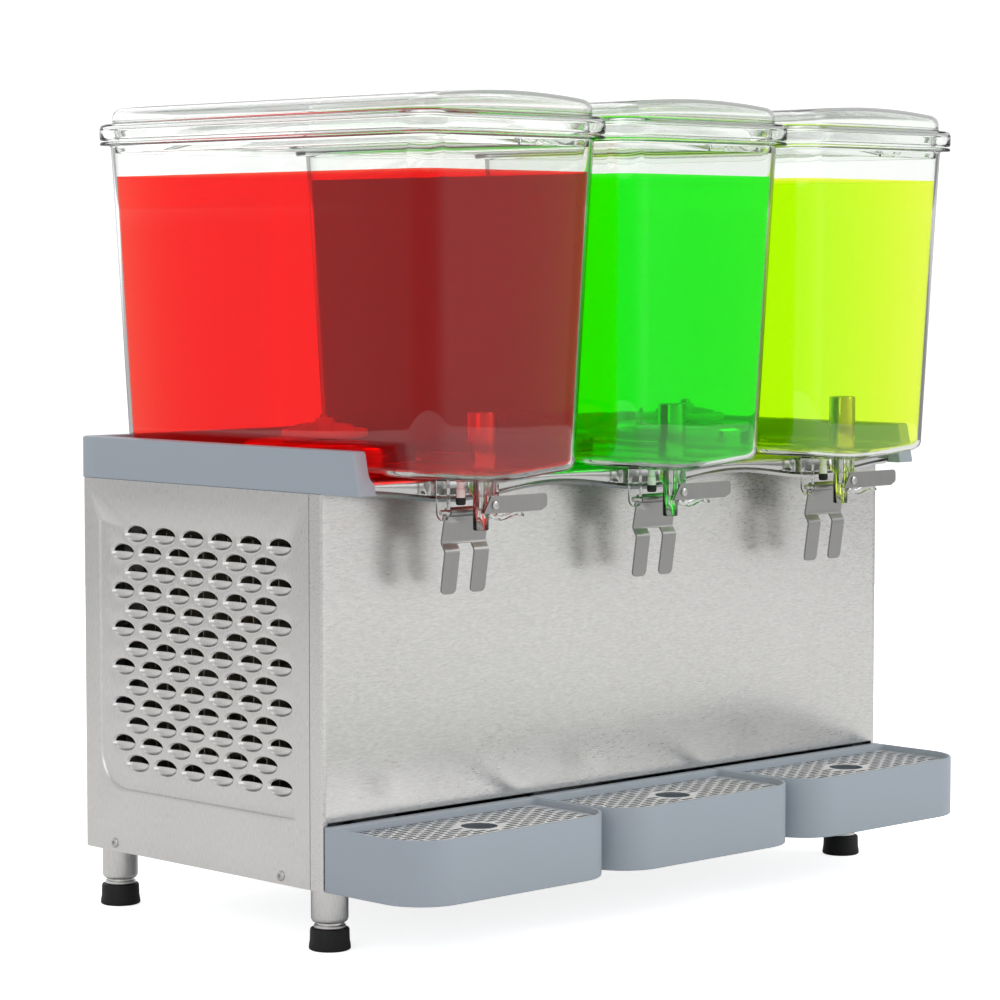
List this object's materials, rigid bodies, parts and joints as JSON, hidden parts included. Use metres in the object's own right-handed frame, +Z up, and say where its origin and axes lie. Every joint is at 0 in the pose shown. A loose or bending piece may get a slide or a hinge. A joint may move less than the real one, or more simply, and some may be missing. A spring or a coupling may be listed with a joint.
{
  "type": "refrigerated drink dispenser",
  "caption": "Counter-top cold drink dispenser with clear lift-off bowls, magnetic agitators, push-lever taps, a louvred stainless cabinet and pull-out drip trays.",
  "frame": {"origin": "centre of the footprint, on the counter under the rubber boots", "axes": "+Z up, the taps and drip trays face -Y, +X to the right of a person who stands in front of the taps"},
  "size_m": [0.623, 0.3893, 0.6226],
  "materials": {
    "zinc_sheet": "satin zinc-plated sheet",
    "frame_bar": "mill finish",
    "brushed_steel": "brushed stainless",
    "polished_steel": "bright stainless",
    "lever_steel": "fine satin stainless",
    "grate_steel": "satin stainless",
    "screw_steel": "bright",
    "grey_plastic": "fine matte blue-grey moulding",
    "white_rubber": "smooth silicone",
    "black_rubber": "matte",
    "dark_enamel": "semi-gloss enamel",
    "condenser_fins": "bare fins",
    "fan_metal": "stamped sheet",
    "copper_pipe": "bare copper",
    "magnet_disc": "satin",
    "white_plastic": "smooth acetal",
    "black_plastic": "fine texture",
    "switch_plastic": "smooth",
    "clear_plastic": "clear polycarbonate",
    "drink_red": "clear red drink",
    "drink_green": "clear green drink",
    "drink_yellow": "clear yellow-green drink"
  },
  "bodies": {
    "cabinet": {"base_pan": "zinc_sheet", "frame_bars": "frame_bar", "left_side_panel": "brushed_steel", "right_side_panel": "brushed_steel", "front_panel": "brushed_steel", "rear_panel": "brushed_steel", "deck_cover": "grey_plastic", "deck_plate": "polished_steel", "evaporators": "polished_steel", "bowl_gaskets": "white_rubber", "agitator_motors": "dark_enamel", "compressor": "dark_enamel", "condenser": "condenser_fins", "fan_shroud": "zinc_sheet", "fan_motor": "dark_enamel", "refrigerant_lines": "copper_pipe", "tray_brackets": "zinc_sheet", "leg_tubes": "polished_steel", "leg_boots": "black_rubber", "panel_screws": "screw_steel", "cord_gland": "black_rubber", "control_plate": "black_plastic"},
    "bowl_1": {"bowl_1": "clear_plastic", "tap_pins_1": "screw_steel", "lever_buffer_1": "white_plastic"},
    "lid_1": {"lid_1": "clear_plastic"},
    "valve_1": {"valve_weight_1": "polished_steel"},
    "lever_1": {"cup_lever_1": "lever_steel"},
    "handle_1": {"hand_lever_1": "lever_steel"},
    "rotor_1": {"drive_rotor_1": "magnet_disc"},
    "wheel_1": {"agitator_wheel_1": "white_plastic"},
    "tray_1": {"drip_tray_1": "grey_plastic"},
    "grate_1": {"drip_grate_1": "grate_steel"},
    "bowl_2": {"bowl_2": "clear_plastic", "tap_pins_2": "screw_steel", "lever_buffer_2": "white_plastic"},
    "lid_2": {"lid_2": "clear_plastic"},
    "valve_2": {"valve_weight_2": "polished_steel"},
    "lever_2": {"cup_lever_2": "lever_steel"},
    "handle_2": {"hand_lever_2": "lever_steel"},
    "rotor_2": {"drive_rotor_2": "magnet_disc"},
    "wheel_2": {"agitator_wheel_2": "white_plastic"},
    "tray_2": {"drip_tray_2": "grey_plastic"},
    "grate_2": {"drip_grate_2": "grate_steel"},
    "bowl_3": {"bowl_3": "clear_plastic", "tap_pins_3": "screw_steel", "lever_buffer_3": "white_plastic"},
    "lid_3": {"lid_3": "clear_plastic"},
    "valve_3": {"valve_weight_3": "polished_steel"},
    "lever_3": {"cup_lever_3": "lever_steel"},
    "handle_3": {"hand_lever_3": "lever_steel"},
    "rotor_3": {"drive_rotor_3": "magnet_disc"},
    "wheel_3": {"agitator_wheel_3": "white_plastic"},
    "tray_3": {"drip_tray_3": "grey_plastic"},
    "grate_3": {"drip_grate_3": "grate_steel"},
    "fan": {"fan_blade": "fan_metal"},
    "knob": {"thermostat_knob": "black_plastic"},
    "power_rocker": {"power_switch": "switch_plastic"},
    "cooling_rocker": {"cooling_switch": "switch_plastic"},
    "stirring_rocker": {"stirring_switch": "switch_plastic"}
  },
  "joints": [
    {"name": "bowl_1_lift", "type": "slide", "parent": "cabinet", "child": "bowl_1", "axis": [0, 0, 1], "range_m": [0, 0.1]},
    {"name": "lid_1_lift", "type": "slide", "parent": "bowl_1", "child": "lid_1", "axis": [0, 0, 1], "range_m": [0, 0.06]},
    {"name": "lever_1_push", "type": "hinge", "parent": "bowl_1", "child": "lever_1", "pos_m": [-0.2015, -0.131, 0.319], "axis": [1, 0, 0], "range_deg": [0, 15], "stiffness_Nm_per_rad": 0.12, "springref_deg": -8.59},
    {"name": "valve_1_lift", "type": "slide", "parent": "bowl_1", "child": "valve_1", "axis": [0, 0, 1], "range_m": [0, 0.0042]},
    {"name": "handle_1_press", "type": "hinge", "parent": "bowl_1", "child": "handle_1", "pos_m": [-0.1955, -0.15315, 0.324], "axis": [0, 1, 0], "range_deg": [0, 20], "stiffness_Nm_per_rad": 0.05, "springref_deg": -8.59},
    {"name": "rotor_1_spin", "type": "hinge", "parent": "cabinet", "child": "rotor_1", "pos_m": [-0.2015, 0.025, 0.35], "axis": [0, 0, 1], "continuous": true},
    {"name": "wheel_1_spin", "type": "hinge", "parent": "cabinet", "child": "wheel_1", "pos_m": [-0.2015, 0.025, 0.37], "axis": [0, 0, 1], "continuous": true},
    {"name": "tray_1_pull", "type": "slide", "parent": "cabinet", "child": "tray_1", "axis": [0, -1, 0], "range_m": [0, 0.09]},
    {"name": "grate_1_lift", "type": "slide", "parent": "tray_1", "child": "grate_1", "axis": [0, 0, 1], "range_m": [0, 0.04]},
    {"name": "bowl_2_lift", "type": "slide", "parent": "cabinet", "child": "bowl_2", "axis": [0, 0, 1], "range_m": [0, 0.1]},
    {"name": "lid_2_lift", "type": "slide", "parent": "bowl_2", "child": "lid_2", "axis": [0, 0, 1], "range_m": [0, 0.06]},
    {"name": "lever_2_push", "type": "hinge", "parent": "bowl_2", "child": "lever_2", "pos_m": [0, -0.131, 0.319], "axis": [1, 0, 0], "range_deg": [0, 15], "stiffness_Nm_per_rad": 0.12, "springref_deg": -8.59},
    {"name": "valve_2_lift", "type": "slide", "parent": "bowl_2", "child": "valve_2", "axis": [0, 0, 1], "range_m": [0, 0.0042]},
    {"name": "handle_2_press", "type": "hinge", "parent": "bowl_2", "child": "handle_2", "pos_m": [0.006, -0.15315, 0.324], "axis": [0, 1, 0], "range_deg": [0, 20], "stiffness_Nm_per_rad": 0.05, "springref_deg": -8.59},
    {"name": "rotor_2_spin", "type": "hinge", "parent": "cabinet", "child": "rotor_2", "pos_m": [0, 0.025, 0.35], "axis": [0, 0, 1], "continuous": true},
    {"name": "wheel_2_spin", "type": "hinge", "parent": "cabinet", "child": "wheel_2", "pos_m": [0, 0.025, 0.37], "axis": [0, 0, 1], "continuous": true},
    {"name": "tray_2_pull", "type": "slide", "parent": "cabinet", "child": "tray_2", "axis": [0, -1, 0], "range_m": [0, 0.09]},
    {"name": "grate_2_lift", "type": "slide", "parent": "tray_2", "child": "grate_2", "axis": [0, 0, 1], "range_m": [0, 0.04]},
    {"name": "bowl_3_lift", "type": "slide", "parent": "cabinet", "child": "bowl_3", "axis": [0, 0, 1], "range_m": [0, 0.1]},
    {"name": "lid_3_lift", "type": "slide", "parent": "bowl_3", "child": "lid_3", "axis": [0, 0, 1], "range_m": [0, 0.06]},
    {"name": "lever_3_push", "type": "hinge", "parent": "bowl_3", "child": "lever_3", "pos_m": [0.2015, -0.131, 0.319], "axis": [1, 0, 0], "range_deg": [0, 15], "stiffness_Nm_per_rad": 0.12, "springref_deg": -8.59},
    {"name": "valve_3_lift", "type": "slide", "parent": "bowl_3", "child": "valve_3", "axis": [0, 0, 1], "range_m": [0, 0.0042]},
    {"name": "handle_3_press", "type": "hinge", "parent": "bowl_3", "child": "handle_3", "pos_m": [0.2075, -0.15315, 0.324], "axis": [0, 1, 0], "range_deg": [0, 20], "stiffness_Nm_per_rad": 0.05, "springref_deg": -8.59},
    {"name": "rotor_3_spin", "type": "hinge", "parent": "cabinet", "child": "rotor_3", "pos_m": [0.2015, 0.025, 0.35], "axis": [0, 0, 1], "continuous": true},
    {"name": "wheel_3_spin", "type": "hinge", "parent": "cabinet", "child": "wheel_3", "pos_m": [0.2015, 0.025, 0.37], "axis": [0, 0, 1], "continuous": true},
    {"name": "tray_3_pull", "type": "slide", "parent": "cabinet", "child": "tray_3", "axis": [0, -1, 0], "range_m": [0, 0.09]},
    {"name": "grate_3_lift", "type": "slide", "parent": "tray_3", "child": "grate_3", "axis": [0, 0, 1], "range_m": [0, 0.04]},
    {"name": "fan_spin", "type": "hinge", "parent": "cabinet", "child": "fan", "pos_m": [-0.235, 0.045, 0.185], "axis": [1, 0, 0], "continuous": true},
    {"name": "knob_turn", "type": "hinge", "parent": "cabinet", "child": "knob", "pos_m": [0.062, 0.19, 0.292], "axis": [0, 1, 0], "range_deg": [0, 270]},
    {"name": "power_rock", "type": "hinge", "parent": "cabinet", "child": "power_rocker", "pos_m": [-0.07, 0.1874, 0.292], "axis": [1, 0, 0], "range_deg": [0, 16]},
    {"name": "cooling_rock", "type": "hinge", "parent": "cabinet", "child": "cooling_rocker", "pos_m": [-0.036, 0.1874, 0.292], "axis": [1, 0, 0], "range_deg": [0, 16]},
    {"name": "stirring_rock", "type": "hinge", "parent": "cabinet", "child": "stirring_rocker", "pos_m": [-0.002, 0.1874, 0.292], "axis": [1, 0, 0], "range_deg": [0, 16]}
  ],
  "couplings": [
    {"joint": "lever_1_push", "follows": "valve_1_lift", "rad_per_m": 62.3},
    {"joint": "wheel_1_spin", "follows": "rotor_1_spin", "ratio": 1},
    {"joint": "lever_2_push", "follows": "valve_2_lift", "rad_per_m": 62.3},
    {"joint": "wheel_2_spin", "follows": "rotor_2_spin", "ratio": 1},
    {"joint": "lever_3_push", "follows": "valve_3_lift", "rad_per_m": 62.3},
    {"joint": "wheel_3_spin", "follows": "rotor_3_spin", "ratio": 1}
  ]
}
